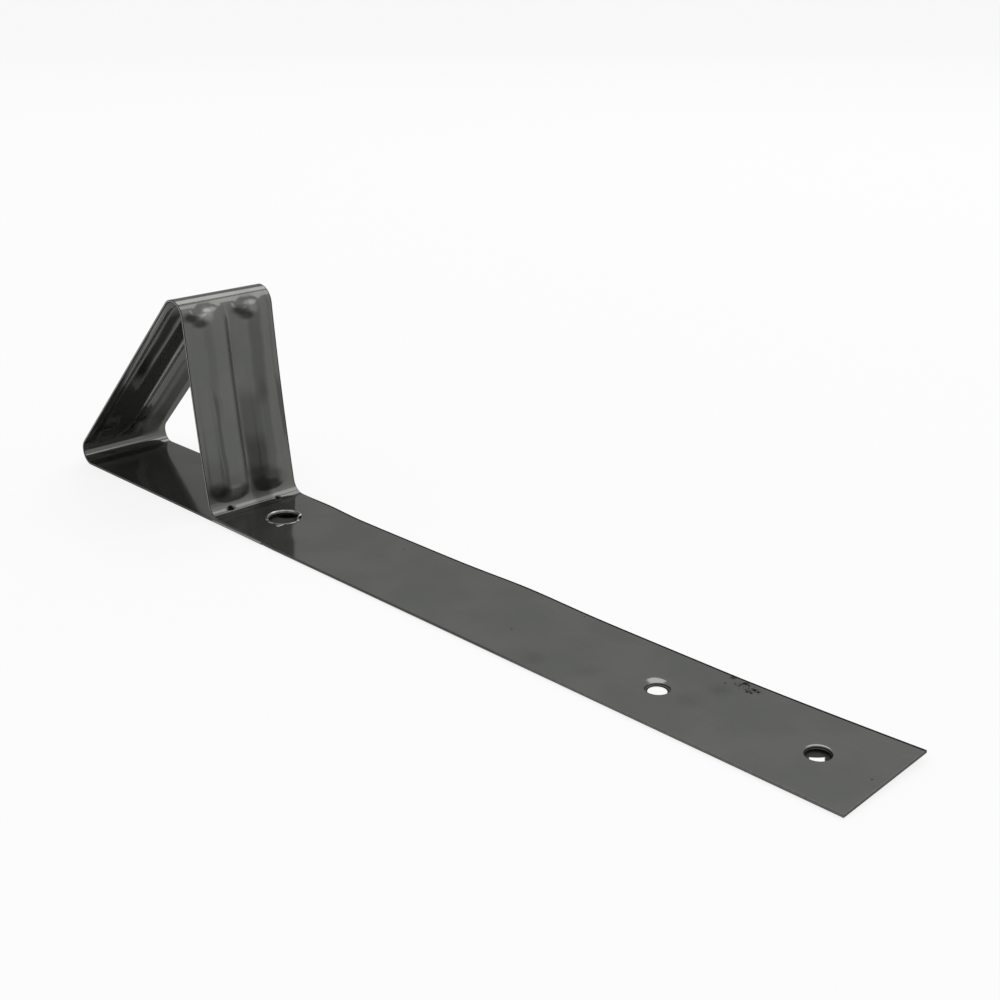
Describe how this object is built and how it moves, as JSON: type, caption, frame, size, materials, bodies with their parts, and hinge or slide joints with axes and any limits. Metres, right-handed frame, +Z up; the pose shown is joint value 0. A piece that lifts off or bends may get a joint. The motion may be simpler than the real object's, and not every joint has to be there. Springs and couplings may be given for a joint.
{
  "type": "roof snow guard",
  "caption": "Strap-type roof snow guard: folded sheet strip with a ribbed triangular nose, a crimped lap collar and a long flat tail with nail holes.",
  "frame": {"origin": "on the underside of the base, on the strip's centre line, straight below the sharp corner where the front face meets the tail", "axes": "+X along the tail to its nailed end, +Y across the strip, +Z up from the roof"},
  "size_m": [0.2823, 0.03, 0.0627],
  "materials": {
    "stainless_steel": "bright rolled, nearly mirror-like"
  },
  "bodies": {
    "root": {"folded_strip": "stainless_steel"}
  },
  "joints": []
}
